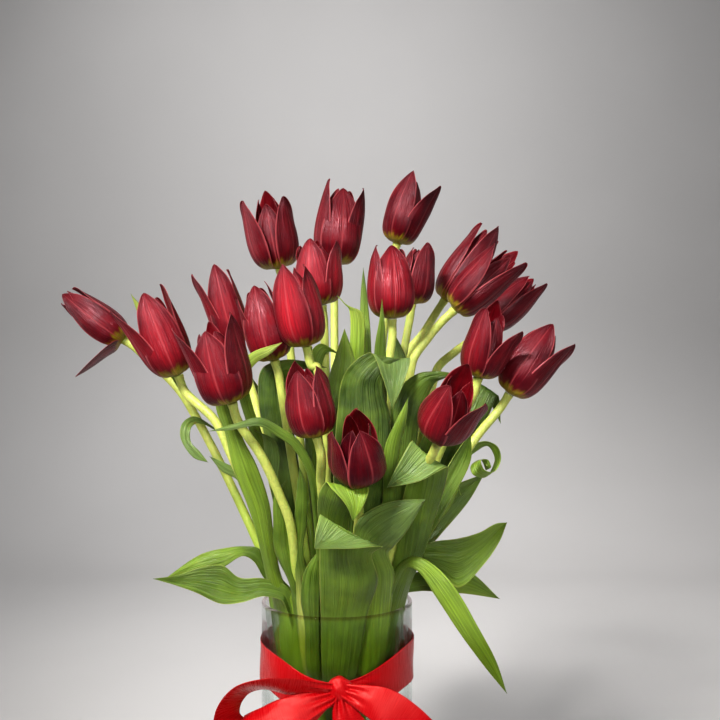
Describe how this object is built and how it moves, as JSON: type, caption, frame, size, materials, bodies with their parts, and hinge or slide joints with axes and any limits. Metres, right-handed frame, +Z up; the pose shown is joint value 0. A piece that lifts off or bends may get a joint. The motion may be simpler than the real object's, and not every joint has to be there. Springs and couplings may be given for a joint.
{
  "type": "tulips in a vase",
  "caption": "Bunch of dark red tulips with leafy stems standing in water in a clear glass cylinder vase, with a red satin ribbon tied in a bow round the glass.",
  "frame": {"origin": "middle of the flat underside of the vase's foot", "axes": "+Z up along the vase's axis, -Y to the front, where the bow is tied, +X to the right"},
  "size_m": [0.4094, 0.2429, 0.5578],
  "materials": {
    "glass": "clear polished glass",
    "water": "clear water",
    "ribbon": "red satin",
    "petal": "dark wine red, softly glossy, with fine lengthwise veins and a yellow base",
    "leaf": "waxy green with parallel veins, paler yellow green on the stems"
  },
  "bodies": {
    "root": {"vase": "glass", "water": "water", "ribbon_band": "ribbon", "bow_knot": "ribbon", "bow_loop_left": "ribbon", "bow_loop_right": "ribbon", "bow_tail_left": "ribbon", "bow_tail_right": "ribbon", "bloom_01": "petal", "bloom_02": "petal", "bloom_03": "petal", "bloom_04": "petal", "bloom_05": "petal", "bloom_06": "petal", "bloom_07": "petal", "bloom_08": "petal", "bloom_09": "petal", "bloom_10": "petal", "bloom_11": "petal", "bloom_12": "petal", "bloom_13": "petal", "bloom_14": "petal", "bloom_15": "petal", "bloom_16": "petal", "bloom_17": "petal", "bloom_18": "petal", "bloom_19": "petal", "bloom_20": "petal", "leafy_stem_01": "leaf", "leafy_stem_02": "leaf", "leafy_stem_03": "leaf", "leafy_stem_04": "leaf", "leafy_stem_05": "leaf", "leafy_stem_06": "leaf", "leafy_stem_07": "leaf", "leafy_stem_08": "leaf", "leafy_stem_09": "leaf", "leafy_stem_10": "leaf", "leafy_stem_11": "leaf", "leafy_stem_12": "leaf", "leafy_stem_13": "leaf", "leafy_stem_14": "leaf", "leafy_stem_15": "leaf", "leafy_stem_16": "leaf", "leafy_stem_17": "leaf", "leafy_stem_18": "leaf", "leafy_stem_19": "leaf", "leafy_stem_20": "leaf"}
  },
  "joints": []
}
